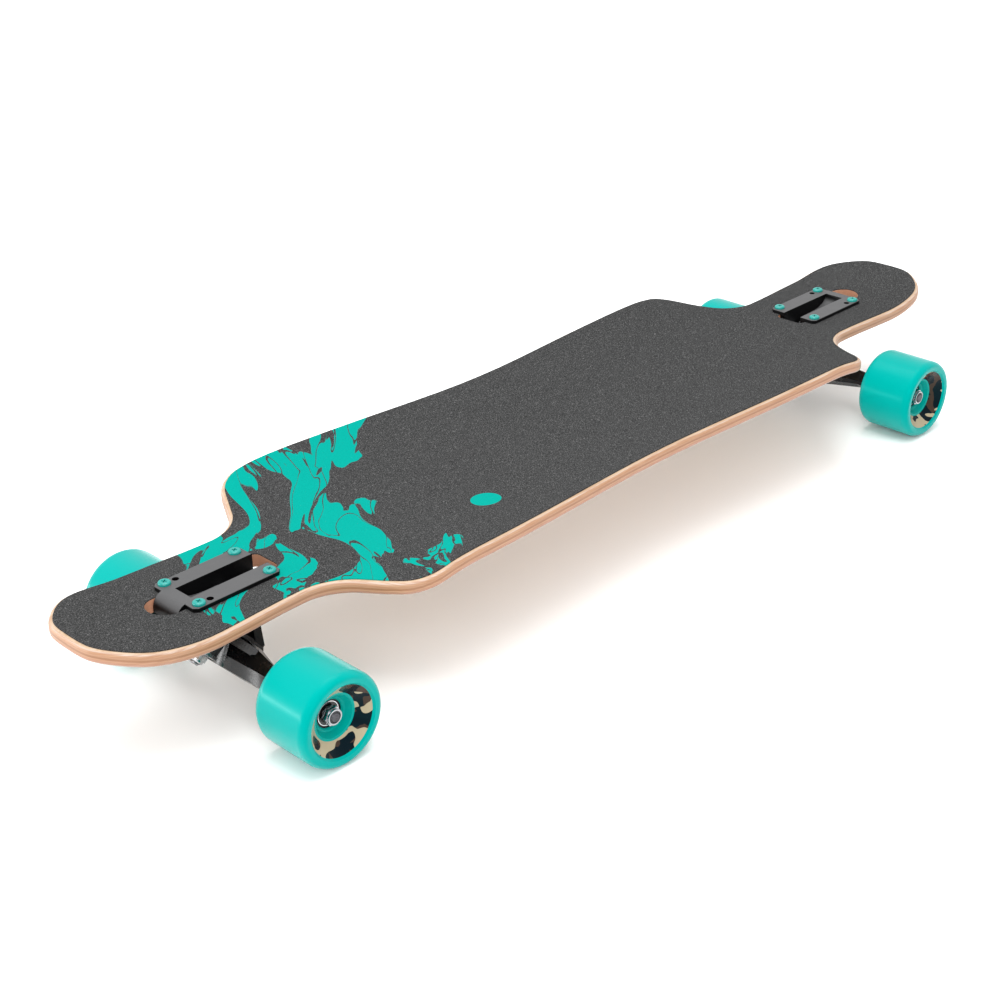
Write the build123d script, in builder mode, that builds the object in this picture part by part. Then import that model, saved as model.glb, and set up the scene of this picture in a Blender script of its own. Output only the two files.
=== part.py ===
from build123d import *
from math import cos, pi, radians, sin
import os

# Drop-through longboard skateboard, millimetres.
# X runs along the board, Y across it and Z up; the origin is on the floor under the board's centre.

# ---- driving dimensions -------------------------------------------------------------------
# deck
HALF_LENGTH = 495.5          # centre to the tip of nose or tail
HALF_WAIST = 111.4           # half width at the middle
HALF_PLATFORM = 122.7        # half width at the platform corners
HALF_NECK = 57.2             # half width beside the trucks
HALF_TIP = 61.1              # widest half width of nose and tail
PLATFORM_CORNER_X = 255.0    # where a platform corner starts to turn
CORNER_RADIUS = 33.0
WHEEL_NOTCH_RADIUS = 40.0
NOTCH_ANGLE = 61.8           # slope of the straight run between corner and notch, degrees
TIP_WIDEST_X = 425.0
PLY_THICKNESS = 1.5
PLIES = 7
DECK_EDGE_RADIUS = 3.0
GRIP_THICKNESS = 0.8
GRIP_INSET = 3.4
GLUE_GAP = 0.04
RIDE_HEIGHT = 97.7           # floor to the grip surface at the trucks
CONCAVE = 9.3e-4             # rise of the platform per square millimetre from the centre line
CONCAVE_FULL_X = 225.0       # full concave up to here
CONCAVE_END_X = 330.0        # flat from here outwards
KICK_START_X = 408.0
KICK_RADIUS = 180.0
KICK_ANGLE = 8.6

# trucks: u is the distance outboard of the bolt pattern's centre
TRUCK_X = 367.8
BOLT_U = 31.75
BOLT_Y = 20.65
SPARE_BOLT_U = 22.05
BOLT_RADIUS = 2.4
BOLT_HOLE_RADIUS = 2.7
FLANGE_THICKNESS = 3.4
FLANGE_HALF_WIDTH = 26.0
FLANGE_HALF_LENGTH = 39.0
FLANGE_CORNER = 3.0
CUTOUT_OUTBOARD = 61.0
CUTOUT_INBOARD = 46.0
CUTOUT_HALF_WIDTH = 15.0
HOUSING_HALF_WIDTH = 14.0
TROUGH_HALF_WIDTH = 9.5
STEER_ANGLE = 50.0           # steering axis above the horizontal, rising outboard
RING_CENTRE = (7.1, 61.1)    # u, z of the hanger ring's centre
RING_HALF_THICKNESS = 3.25
RING_RADIUS = 17.0
KINGPIN_RADIUS = 4.75
BUSHING_RADIUS = 13.2
BUSHING_LENGTH = 14.95
CUP_WASHER_THICKNESS = 1.6
CUP_WASHER_RADIUS = 13.8
PIVOT_MOUTH = 34.5           # ring centre to the mouth of the pivot housing
AXLE_HEIGHT = 37.0
AXLE_RADIUS = 3.95
HANGER_HALF = 92.0
ARM_FULL_Y = 21.0            # the hanger keeps its full section up to here
ARM_SLIM_Y = 58.0            # and has narrowed to this section here

# wheels and bearings
WHEEL_RADIUS = 37.0
WHEEL_INNER_Y = 79.0
WHEEL_OUTER_Y = 134.0
CORE_RADIUS = 18.0
BEARING_OUTER = 11.0
BEARING_BORE = 4.0
BEARING_WIDTH = 7.0
BALL_RADIUS = 1.985
BALL_PITCH = 7.5
BALLS = 7
SPEED_WASHER = 1.0
BEARING_SPACER = 10.0

# ---- derived places -----------------------------------------------------------------------
HOLE_PLACES = [(u, y) for u in (BOLT_U, -BOLT_U, SPARE_BOLT_U) for y in (BOLT_Y, -BOLT_Y)]
DECK_THICKNESS = PLY_THICKNESS * PLIES
WOOD_TOP = RIDE_HEIGHT - GRIP_THICKNESS
WOOD_BOTTOM = WOOD_TOP - DECK_THICKNESS
FLANGE_TOP = RIDE_HEIGHT + FLANGE_THICKNESS
INNER_BEARING_Y = HANGER_HALF + SPEED_WASHER + BEARING_WIDTH / 2
OUTER_BEARING_Y = INNER_BEARING_Y + BEARING_WIDTH + BEARING_SPACER
BEARINGS_END_Y = OUTER_BEARING_Y + BEARING_WIDTH / 2

steer = Vector(cos(radians(STEER_ANGLE)), 0, sin(radians(STEER_ANGLE)))
kingpin_way = Vector(sin(radians(STEER_ANGLE)), 0, -cos(radians(STEER_ANGLE)))
ring_centre = Vector(RING_CENTRE[0], 0, RING_CENTRE[1])
axle_centre = Vector(0, 0, AXLE_HEIGHT)


def ring_plane(offset):
    """Plane square to the kingpin, offset down and outboard from the ring's middle."""
    return Plane(origin=ring_centre + kingpin_way * offset, x_dir=steer, z_dir=kingpin_way)


def steer_plane(offset):
    """Plane square to the steering axis, offset up and outboard from the ring's centre."""
    return Plane(origin=ring_centre + steer * offset, x_dir=Vector(0, 1, 0), z_dir=steer)


def arm_plane(y):
    """Section plane of a hanger arm: local x follows the steering axis, local y the kingpin."""
    return Plane(origin=axle_centre + Vector(0, y, 0), x_dir=steer, z_dir=Vector(0, 1, 0))


def side_point(along, down):
    """u and z of a point given along the steering axis and along the kingpin from the ring."""
    point = ring_centre + steer * along + kingpin_way * down
    return (point.X, point.Z)


os.makedirs("parts", exist_ok=True)


def write(shape, name):
    shape.label = name
    export_step(shape, "parts/" + name + ".step")


# ---- deck ---------------------------------------------------------------------------------
def concave_at(x):
    """Concave coefficient of the section at x, fading to flat beside the trucks."""
    reach = abs(x)
    if reach <= CONCAVE_FULL_X:
        return CONCAVE
    fade = (reach - CONCAVE_FULL_X) / (CONCAVE_END_X - CONCAVE_FULL_X)
    return CONCAVE * (1 + cos(pi * min(fade, 1))) / 2


def deck_outline(inset):
    """Closed plan outline set in by a distance, made from one quarter and its mirror images."""
    turn = radians(NOTCH_ANGLE)
    corner_radius = CORNER_RADIUS - inset
    notch_radius = WHEEL_NOTCH_RADIUS + inset
    platform = HALF_PLATFORM - inset
    neck = HALF_NECK - inset
    corner_end = (PLATFORM_CORNER_X + corner_radius * sin(turn), platform - corner_radius * (1 - cos(turn)))
    notch_top = neck + notch_radius * (1 - cos(turn))
    notch_x = corner_end[0] + (corner_end[1] - notch_top) * cos(turn) / sin(turn)
    neck_x = notch_x + notch_radius * sin(turn)
    with BuildLine() as outline:
        Spline(
            (0, HALF_WAIST - inset), (120, 117.6 - inset), (PLATFORM_CORNER_X, platform),
            tangents=[(1, 0), (1, 0)],
        )
        TangentArc((PLATFORM_CORNER_X, platform), corner_end, tangent=(1, 0))
        Line(corner_end, (notch_x, notch_top))
        TangentArc((neck_x, neck), (notch_x, notch_top), tangent=(-1, 0))
        Spline((neck_x, neck), (TIP_WIDEST_X, HALF_TIP - inset), tangents=[(1, 0), (1, 0)])
        Spline(
            (TIP_WIDEST_X, HALF_TIP - inset), (472 - 0.5 * inset, 50.3 - 0.87 * inset),
            (489.5 - 0.85 * inset, 31 - 0.53 * inset), (HALF_LENGTH - inset, 0),
            tangents=[(1, 0), (0, -1)],
        )
        mirror(about=Plane.YZ)
        mirror(about=Plane.XZ)
    return outline.line


def truck_cutout():
    """Slot for a baseplate: a round outboard end and a square inboard end with soft corners."""
    with BuildSketch() as slot:
        round_centre = CUTOUT_OUTBOARD - CUTOUT_HALF_WIDTH
        with Locations((round_centre, 0)):
            Circle(CUTOUT_HALF_WIDTH)
        with Locations(((round_centre - CUTOUT_INBOARD) / 2, 0)):
            Rectangle(round_centre + CUTOUT_INBOARD, 2 * CUTOUT_HALF_WIDTH)
        inboard = slot.vertices().group_by(Axis.X)[0]
        fillet(inboard, 6)
    return slot.sketch


def bent_sheet(top, thickness):
    """Sheet as long and wide as the deck blank, with concave in the platform and raised tips."""
    stations = [0, 60, 120, 180, 225, 240, 255, 270, 285, 300, 314, 324, CONCAVE_END_X]
    stations = [-x for x in reversed(stations[1:])] + stations
    half = HALF_PLATFORM + 8
    with BuildPart() as sheet:
        for x in stations:
            rise = concave_at(x) * half ** 2
            with BuildSketch(Plane(origin=(x, 0, top), x_dir=(0, 1, 0), z_dir=(1, 0, 0))):
                with BuildLine():
                    Bezier((-half, rise), (0, -rise), (half, rise))
                    Line((half, rise), (half, rise - thickness))
                    Bezier((half, rise - thickness), (0, -rise - thickness), (-half, rise - thickness))
                    Line((-half, rise - thickness), (-half, rise))
                make_face()
        loft()
        turn = radians(KICK_ANGLE)
        bend_end = (KICK_START_X + KICK_RADIUS * sin(turn), KICK_RADIUS * (1 - cos(turn)))
        run = HALF_LENGTH + 8 - bend_end[0]
        tip = (bend_end[0] + run, bend_end[1] + run * sin(turn) / cos(turn))
        drop = (thickness * sin(turn), -thickness * cos(turn))
        low_bend = (bend_end[0] + drop[0], bend_end[1] + drop[1])
        for side in (1, -1):
            with BuildSketch(Plane(origin=(0, 0, top), x_dir=(side, 0, 0), z_dir=(0, -side, 0))):
                with BuildLine():
                    Line((CONCAVE_END_X, 0), (KICK_START_X, 0))
                    TangentArc((KICK_START_X, 0), bend_end, tangent=(1, 0))
                    Line(bend_end, tip)
                    Line(tip, (tip[0] + drop[0], tip[1] + drop[1]))
                    Line((tip[0] + drop[0], tip[1] + drop[1]), low_bend)
                    TangentArc((KICK_START_X, -thickness), low_bend, tangent=(1, 0))
                    Line((KICK_START_X, -thickness), (CONCAVE_END_X, -thickness))
                    Line((CONCAVE_END_X, -thickness), (CONCAVE_END_X, 0))
                make_face()
            extrude(amount=half, both=True)
    return sheet.part


def deck_blank(top, thickness, inset):
    """Bent sheet trimmed to the deck outline, set in by the given distance."""
    with BuildPart() as blank:
        with BuildSketch(Plane.XY.offset(top - 40)):
            make_face(deck_outline(inset))
        extrude(amount=90)
        add(bent_sheet(top, thickness), mode=Mode.INTERSECT)
    return blank.part


def truck_openings():
    """Slots and bolt holes for both trucks, as one tall cutter."""
    with BuildPart() as cutter:
        for side in (1, -1):
            level = Plane(origin=(side * TRUCK_X, 0, WOOD_BOTTOM - 20), x_dir=(side, 0, 0), z_dir=(0, 0, 1))
            with BuildSketch(level):
                add(truck_cutout())
                with Locations(*HOLE_PLACES):
                    Circle(BOLT_HOLE_RADIUS)
            extrude(amount=60)
    return cutter.part


openings = truck_openings()

with BuildPart() as deck:
    add(deck_blank(WOOD_TOP, DECK_THICKNESS, 0))
    top_and_bottom = [e for e in deck.edges() if abs(e.center().Z - (WOOD_TOP + WOOD_BOTTOM) / 2) > 1]
    fillet(top_and_bottom, DECK_EDGE_RADIUS)
    add(openings, mode=Mode.SUBTRACT)
write(deck.part, "deck")

with BuildPart() as grip_tape:
    add(deck_blank(RIDE_HEIGHT, GRIP_THICKNESS - GLUE_GAP, GRIP_INSET))
    add(openings, mode=Mode.SUBTRACT)
write(grip_tape.part, "grip_tape")


# ---- trucks: one is modelled outboard of the origin, then set at both ends -----------------
def at_both_ends(shape, name):
    """Write the front and rear copies of a truck piece."""
    write(shape.moved(Location((-TRUCK_X, 0, 0), (0, 0, 180))), "front_" + name)
    write(shape.moved(Location((TRUCK_X, 0, 0))), "rear_" + name)


SEAT = -(RING_HALF_THICKNESS + 0.05 + BUSHING_LENGTH + CUP_WASHER_THICKNESS)
ROAD_WASHER = RING_HALF_THICKNESS + 0.05 + BUSHING_LENGTH
KINGPIN_NUT = ROAD_WASHER + CUP_WASHER_THICKNESS
SEAT_WALL = 8.0
KINGPIN_NUT_LENGTH = 8.0
KINGPIN_HEAD = 6.0
KINGPIN_FLATS = 14.3
BOSS_RADIUS = 11.0
BOSS_LENGTH = 12.0
CUP_RADIUS = 8.6
CUP_DEPTH = 9.5
NOSE_RADIUS = 6.0

with BuildPart() as baseplate:
    # mounting flange: two legs joined by a bridge at the outboard end
    with BuildSketch(Plane.XY.offset(RIDE_HEIGHT)) as flange:
        Rectangle(2 * FLANGE_HALF_LENGTH, 2 * FLANGE_HALF_WIDTH)
        chamfer(flange.vertices(), FLANGE_CORNER)
    extrude(amount=FLANGE_THICKNESS)
    flange_rim = baseplate.faces().sort_by(Axis.Z)[-1].outer_wire().edges()
    fillet(flange_rim, 0.7)
    # housing through the deck: rounded outboard nose and the kingpin seat below
    with BuildSketch(Plane.XZ) as housing_side:
        with BuildLine():
            Line((-FLANGE_HALF_LENGTH, FLANGE_TOP - 1), (FLANGE_HALF_LENGTH, FLANGE_TOP - 0.05))
            Spline(
                (FLANGE_HALF_LENGTH, FLANGE_TOP - 0.05), (44.2, 98.2), (47.6, 91.5),
                tangents=[(1, -0.15), (0.12, -1)],
            )
            Polyline(
                (47.6, 91.5), (48.0, 87.5), (44.0, 84.4), (1.6, 84.4),
                side_point(14, SEAT), side_point(-16.5, SEAT), (-25, 60.5), (-FLANGE_HALF_LENGTH, 74),
                (-FLANGE_HALF_LENGTH, FLANGE_TOP - 1),
            )
        make_face()
    extrude(amount=HOUSING_HALF_WIDTH, both=True)
    # web down to the pivot housing
    with BuildSketch(Plane.XZ):
        with BuildLine():
            Polyline(
                (-31, 77), (-19, 66), (-21.5, 54), side_point(-PIVOT_MOUTH - 0.3, -9.6),
                side_point(-PIVOT_MOUTH - BOSS_LENGTH, -2), side_point(-PIVOT_MOUTH - BOSS_LENGTH, -10.5),
                (-29, 50), close=True,
            )
        make_face()
    extrude(amount=7, both=True)
    with BuildSketch(steer_plane(-PIVOT_MOUTH)):
        Circle(BOSS_RADIUS)
    extrude(amount=-BOSS_LENGTH)
    with BuildSketch(steer_plane(-PIVOT_MOUTH)):
        Circle(CUP_RADIUS + 0.02)
    extrude(amount=-CUP_DEPTH - 0.02, mode=Mode.SUBTRACT)
    # trough above the kingpin head, open inboard
    with BuildSketch(Plane.XZ):
        with BuildLine():
            Line((-FLANGE_HALF_LENGTH - 1, FLANGE_TOP + 2), (31, FLANGE_TOP + 2))
            Line((31, FLANGE_TOP + 2), (30, 99))
            Spline((30, 99), (24, 92.2), (4, 88.6), tangents=[(-0.2, -1), (-1, -0.05)])
            Polyline(
                (4, 88.6), side_point(12.5, SEAT - SEAT_WALL), side_point(-9.2, SEAT - SEAT_WALL),
                (-FLANGE_HALF_LENGTH - 1, 88), (-FLANGE_HALF_LENGTH - 1, FLANGE_TOP + 2),
            )
        make_face()
    extrude(amount=TROUGH_HALF_WIDTH, both=True, mode=Mode.SUBTRACT)
    with BuildSketch(ring_plane(SEAT + 1)):
        Circle(KINGPIN_RADIUS + 0.02)
    extrude(amount=-SEAT_WALL - 4, mode=Mode.SUBTRACT)
    with BuildSketch(Plane.XY.offset(FLANGE_TOP + 1)):
        with Locations(*HOLE_PLACES):
            Circle(BOLT_HOLE_RADIUS)
    extrude(amount=-FLANGE_THICKNESS - 2, mode=Mode.SUBTRACT)
at_both_ends(baseplate.part, "baseplate")

# ---- kingpin, bushings and cup washers -----------------------------------------------------
KINGPIN_TIP = 2.0
with BuildPart() as kingpin:
    with BuildSketch(ring_plane(SEAT - SEAT_WALL)):
        Circle(KINGPIN_RADIUS)
    extrude(amount=KINGPIN_NUT + KINGPIN_NUT_LENGTH + KINGPIN_TIP - SEAT + SEAT_WALL)
    thread_end = kingpin.faces().sort_by(Axis(ring_centre, kingpin_way))[-1].edges()
    chamfer(thread_end, 0.8)
    with BuildSketch(ring_plane(SEAT - SEAT_WALL)):
        RegularPolygon(KINGPIN_FLATS / 2, 6, major_radius=False)
    extrude(amount=-KINGPIN_HEAD)
at_both_ends(kingpin.part, "kingpin")

NUT_CLEARANCE = 0.02
NUT_HEX_LENGTH = 5.6
NUT_COLLAR_RADIUS = 6.9
BORE_CLEARANCE = 0.15        # washers and bushings on the kingpin
with BuildPart() as kingpin_nut:
    with BuildSketch(ring_plane(KINGPIN_NUT)):
        RegularPolygon(KINGPIN_FLATS / 2, 6, major_radius=False)
    extrude(amount=NUT_HEX_LENGTH)
    with BuildSketch(ring_plane(KINGPIN_NUT + NUT_HEX_LENGTH)):
        Circle(NUT_COLLAR_RADIUS)
    extrude(amount=KINGPIN_NUT_LENGTH - NUT_HEX_LENGTH)
    rolled_edge = kingpin_nut.faces().sort_by(Axis(ring_centre, kingpin_way))[-1].edges()
    fillet(rolled_edge, 1.0)
    with BuildSketch(ring_plane(KINGPIN_NUT - 1)):
        Circle(KINGPIN_RADIUS + NUT_CLEARANCE)
    extrude(amount=KINGPIN_NUT_LENGTH + 2, mode=Mode.SUBTRACT)
at_both_ends(kingpin_nut.part, "kingpin_nut")


def cup_washer(offset, lip_way):
    """Dished washer whose rim turns over the end of a bushing."""
    lip_height = 1.1
    lip_width = 0.5
    with BuildPart() as washer:
        with BuildSketch(ring_plane(offset)):
            Circle(CUP_WASHER_RADIUS)
            Circle(KINGPIN_RADIUS + BORE_CLEARANCE, mode=Mode.SUBTRACT)
        extrude(amount=CUP_WASHER_THICKNESS)
        start = offset + CUP_WASHER_THICKNESS if lip_way > 0 else offset
        with BuildSketch(ring_plane(start)):
            Circle(CUP_WASHER_RADIUS)
            Circle(CUP_WASHER_RADIUS - lip_width, mode=Mode.SUBTRACT)
        extrude(amount=lip_way * lip_height)
    return washer.part


def bushing(start, end_radius):
    """Urethane ring with chamfered ends; a smaller radius at its far end makes it a cone."""
    end = start + BUSHING_LENGTH
    bore = KINGPIN_RADIUS + BORE_CLEARANCE
    with BuildPart() as ring:
        with BuildSketch(Plane(origin=ring_centre, x_dir=steer, z_dir=(0, 1, 0))):
            Polygon(
                (bore, start), (BUSHING_RADIUS - 1, start), (BUSHING_RADIUS, start + 1),
                (end_radius, end - 1), (end_radius - 1, end), (bore, end), align=None,
            )
        revolve(axis=Axis(ring_centre, kingpin_way))
    return ring.part


at_both_ends(cup_washer(SEAT, 1), "board_cup_washer")
at_both_ends(bushing(SEAT + CUP_WASHER_THICKNESS, 12.6), "board_bushing")
at_both_ends(bushing(RING_HALF_THICKNESS + 0.05, 12.4), "road_bushing")
at_both_ends(cup_washer(ROAD_WASHER, -1), "road_cup_washer")

# ---- pivot cup -----------------------------------------------------------------------------
CUP_LIP = 0.6
with BuildPart() as pivot_cup:
    with BuildSketch(steer_plane(-PIVOT_MOUTH - CUP_DEPTH)):
        Circle(CUP_RADIUS)
    extrude(amount=CUP_DEPTH + CUP_LIP)
    with BuildSketch(steer_plane(-PIVOT_MOUTH + CUP_LIP)):
        Circle(NOSE_RADIUS + 0.25)
    extrude(amount=-CUP_DEPTH - CUP_LIP + 1.5, mode=Mode.SUBTRACT)
at_both_ends(pivot_cup.part, "pivot_cup")

# ---- hanger --------------------------------------------------------------------------------
# arm section: along the steering axis, then along the kingpin, both from the axle
ARM_SECTION = [(-14, -8), (-9, -15.5), (8, -15.5), (13, -9), (13, 2), (6, 10.5), (-7, 10.5), (-14, 4)]
ARM_SLIM_SECTION = [(-6.5, -4), (-4, -6.5), (2.5, -8), (7, -5), (8.5, 1), (6, 9.8), (-5, 9.8), (-7, 4)]
ARM_END_SECTION = [
    (-7.7, -3.2), (-3.2, -7.7), (3.2, -7.7), (7.7, -3.2), (7.7, 3.2), (3.2, 7.7), (-3.2, 7.7), (-7.7, 3.2),
]
ARM_END_Y = 86.0
STUB_RADIUS = 8.0            # round end of an arm, beside the wheel
BODY_SWEEP = 33.2            # the body stops here, clear of the pivot housing
HOUSING_ROOM = 2.2           # and leaves this much round it
DISH_RADIUS = 15.0           # the ring's two conical dishes
DISH_MOUTH = 22.0
DISH_DEPTH = 20.0
RING_HOLE = 6.6

with BuildPart() as hanger:
    sections = [
        (0, ARM_SECTION), (ARM_FULL_Y, ARM_SECTION), (ARM_SLIM_Y, ARM_SLIM_SECTION),
        (ARM_END_Y, ARM_END_SECTION),
    ]
    for start, end in zip(sections, sections[1:]):
        for y, corners in (start, end):
            with BuildSketch(arm_plane(y)):
                Polygon(*corners, align=None)
        loft(ruled=True)
    with BuildSketch(arm_plane(ARM_END_Y - 3)):
        Circle(STUB_RADIUS)
    extrude(amount=HANGER_HALF - ARM_END_Y + 3)
    mirror(about=Plane.XZ)
    # room for the pivot housing, then the nose that enters its cup
    with BuildSketch(steer_plane(-BODY_SWEEP)):
        Circle(BOSS_RADIUS + HOUSING_ROOM)
    extrude(amount=-20, mode=Mode.SUBTRACT)
    nose_end = PIVOT_MOUTH + CUP_DEPTH - 2
    with BuildSketch(steer_plane(-nose_end)):
        Circle(NOSE_RADIUS)
    extrude(amount=nose_end - 18)
    nose_tip = hanger.faces().filter_by(GeomType.PLANE).sort_by(Axis(ring_centre, steer))[0].edges()
    fillet(nose_tip, 3)
    # ring round the kingpin and its web, with conical room for bushings, washers and nut
    with BuildSketch(ring_plane(-RING_HALF_THICKNESS)):
        Circle(RING_RADIUS)
        Polygon((3, 16.6), (3, -16.6), (-14, -36), (-14, 36), align=None)
    extrude(amount=2 * RING_HALF_THICKNESS)
    for way in (1, -1):
        with BuildSketch(ring_plane(way * RING_HALF_THICKNESS)):
            Circle(DISH_RADIUS)
        with BuildSketch(ring_plane(way * (RING_HALF_THICKNESS + DISH_DEPTH))):
            Circle(DISH_MOUTH)
        loft(mode=Mode.SUBTRACT)
    with BuildSketch(ring_plane(-RING_HALF_THICKNESS - 1)):
        Circle(RING_HOLE)
    extrude(amount=2 * RING_HALF_THICKNESS + 2, mode=Mode.SUBTRACT)
    with BuildSketch(arm_plane(-HANGER_HALF - 1)):
        Circle(AXLE_RADIUS + 0.02)
    extrude(amount=2 * HANGER_HALF + 2, mode=Mode.SUBTRACT)
at_both_ends(hanger.part, "hanger")

# ---- axle and what is threaded on it -------------------------------------------------------
AXLE_NUT_LENGTH = 6.5
AXLE_NUT_Y = BEARINGS_END_Y + SPEED_WASHER
AXLE_END_Y = AXLE_NUT_Y + AXLE_NUT_LENGTH + 0.8


def across_axle(y):
    """Plane square to the axle at the given distance across the board."""
    return Plane(origin=(0, y, AXLE_HEIGHT), x_dir=(1, 0, 0), z_dir=(0, 1, 0))


def rings_on_axle(spans, radius, hole):
    """Rings round the axle between pairs of distances, repeated on both sides."""
    with BuildPart() as rings:
        for start, end in spans:
            with BuildSketch(across_axle(start), across_axle(-end)):
                Circle(radius)
                Circle(hole, mode=Mode.SUBTRACT)
            extrude(amount=end - start)
    return rings.part


with BuildPart() as axle:
    with BuildSketch(across_axle(-AXLE_END_Y)):
        Circle(AXLE_RADIUS)
    extrude(amount=2 * AXLE_END_Y)
    axle_rims = axle.faces().filter_by(GeomType.PLANE).edges()
    chamfer(axle_rims, 0.6)
at_both_ends(axle.part, "axle")

with BuildPart() as axle_nuts:
    for side in (1, -1):
        nut_plane = Plane(origin=(0, side * AXLE_NUT_Y, AXLE_HEIGHT), x_dir=(1, 0, 0), z_dir=(0, side, 0))
        with BuildSketch(nut_plane):
            RegularPolygon(6.5, 6, major_radius=False)
            Circle(AXLE_RADIUS + NUT_CLEARANCE, mode=Mode.SUBTRACT)
        extrude(amount=4.6)
        with BuildSketch(nut_plane.offset(4.6)):
            Circle(6.1)
            Circle(AXLE_RADIUS + NUT_CLEARANCE, mode=Mode.SUBTRACT)
        extrude(amount=AXLE_NUT_LENGTH - 4.6)
at_both_ends(axle_nuts.part, "axle_nuts")

speed_washer_spans = [
    (HANGER_HALF, HANGER_HALF + SPEED_WASHER),
    (BEARINGS_END_Y, BEARINGS_END_Y + SPEED_WASHER),
]
at_both_ends(rings_on_axle(speed_washer_spans, 5.7, AXLE_RADIUS + 0.05), "speed_washers")
spacer_start = INNER_BEARING_Y + BEARING_WIDTH / 2
spacer_spans = [(spacer_start, spacer_start + BEARING_SPACER)]
at_both_ends(rings_on_axle(spacer_spans, 5.0, AXLE_RADIUS + 0.05), "bearing_spacers")

# ---- mounting hardware ---------------------------------------------------------------------
BOLT_HEAD_RADIUS = 4.9
BOLT_HEAD_HEIGHT = 2.3
BOLT_END = WOOD_BOTTOM - 6.6
LOCK_NUT_FLATS = 9.5
LOCK_NUT_HEIGHT = 4.6
bolt_places = [(u, y) for u in (BOLT_U, -BOLT_U) for y in (BOLT_Y, -BOLT_Y)]

with BuildPart() as mounting_bolts:
    with BuildSketch(Plane.XY.offset(BOLT_END)):
        with Locations(*bolt_places):
            Circle(BOLT_RADIUS)
    extrude(amount=FLANGE_TOP - BOLT_END)
    with BuildSketch(Plane.XY.offset(FLANGE_TOP)):
        with Locations(*bolt_places):
            Circle(BOLT_HEAD_RADIUS)
    extrude(amount=BOLT_HEAD_HEIGHT)
    head_rims = mounting_bolts.faces().group_by(Axis.Z)[-1].edges()
    fillet(head_rims, 1.5)
    with BuildSketch(Plane.XY.offset(FLANGE_TOP + BOLT_HEAD_HEIGHT)):
        with Locations(*bolt_places):
            Rectangle(4.2, 1.1, rotation=35)
            Rectangle(4.2, 1.1, rotation=125)
    extrude(amount=-1.3, mode=Mode.SUBTRACT)
at_both_ends(mounting_bolts.part, "mounting_bolts")

with BuildPart() as mounting_nuts:
    with BuildSketch(Plane.XY.offset(WOOD_BOTTOM)):
        with Locations(*bolt_places):
            RegularPolygon(LOCK_NUT_FLATS / 2, 6, major_radius=False)
            Circle(BOLT_RADIUS + NUT_CLEARANCE, mode=Mode.SUBTRACT)
    extrude(amount=-LOCK_NUT_HEIGHT + 1.4)
    with BuildSketch(Plane.XY.offset(WOOD_BOTTOM - LOCK_NUT_HEIGHT + 1.4)):
        with Locations(*bolt_places):
            Circle(4.3)
            Circle(BOLT_RADIUS + NUT_CLEARANCE, mode=Mode.SUBTRACT)
    extrude(amount=-1.4)
at_both_ends(mounting_nuts.part, "mounting_nuts")


# ---- bearings ------------------------------------------------------------------------------
INNER_RACE_RADIUS = 6.0
OUTER_RACE_HOLE = 9.0
GROOVE_RADIUS = BALL_RADIUS + 0.07
SHIELD_THICKNESS = 0.35
SHIELD_INSET = 0.3
SHIELD_HOLE = 6.3
CAGE_RADIUS = 8.3
CAGE_HOLE = 6.7
CAGE_HALF_WIDTH = 2.45
bearing_centres = (INNER_BEARING_Y, OUTER_BEARING_Y)


def groove_at(y):
    """Ring-shaped ball track round the axle."""
    with BuildPart(mode=Mode.PRIVATE) as track:
        with BuildSketch(Plane(origin=(0, y, AXLE_HEIGHT), x_dir=(1, 0, 0), z_dir=(0, 0, 1))):
            with Locations((BALL_PITCH, 0)):
                Circle(GROOVE_RADIUS)
        revolve(axis=Axis((0, y, AXLE_HEIGHT), (0, 1, 0)))
    return track.part


def races(sides, radius, hole):
    """Bearing rings at both bearings of the wheels on the given sides, with their ball tracks."""
    with BuildPart() as rings:
        for side in sides:
            for centre in bearing_centres:
                with BuildSketch(across_axle(side * centre)):
                    Circle(radius)
                    Circle(hole, mode=Mode.SUBTRACT)
                extrude(amount=BEARING_WIDTH / 2, both=True)
        for side in sides:
            for centre in bearing_centres:
                add(groove_at(side * centre), mode=Mode.SUBTRACT)
    return rings.part


at_both_ends(races((1, -1), INNER_RACE_RADIUS, AXLE_RADIUS + 0.05), "inner_races")


# ---- wheels --------------------------------------------------------------------------------
MIDDLE_Y = (WHEEL_INNER_Y + WHEEL_OUTER_Y) / 2
LIP_RADIUS = 32.2
SHOULDER = 6.8               # width over which the tread rounds into the side
CONE_TOP = 28.2
CORE_FACE_Y = 123.5
CORE_INNER_FACE_Y = 2 * MIDDLE_Y - CORE_FACE_Y
CORE_WEB_RADIUS = 8.0
RADIAL = Plane(origin=(0, 0, AXLE_HEIGHT), x_dir=(1, 0, 0), z_dir=(0, 0, 1))
AXLE_LINE = Axis((0, 0, AXLE_HEIGHT), (0, 1, 0))


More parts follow.
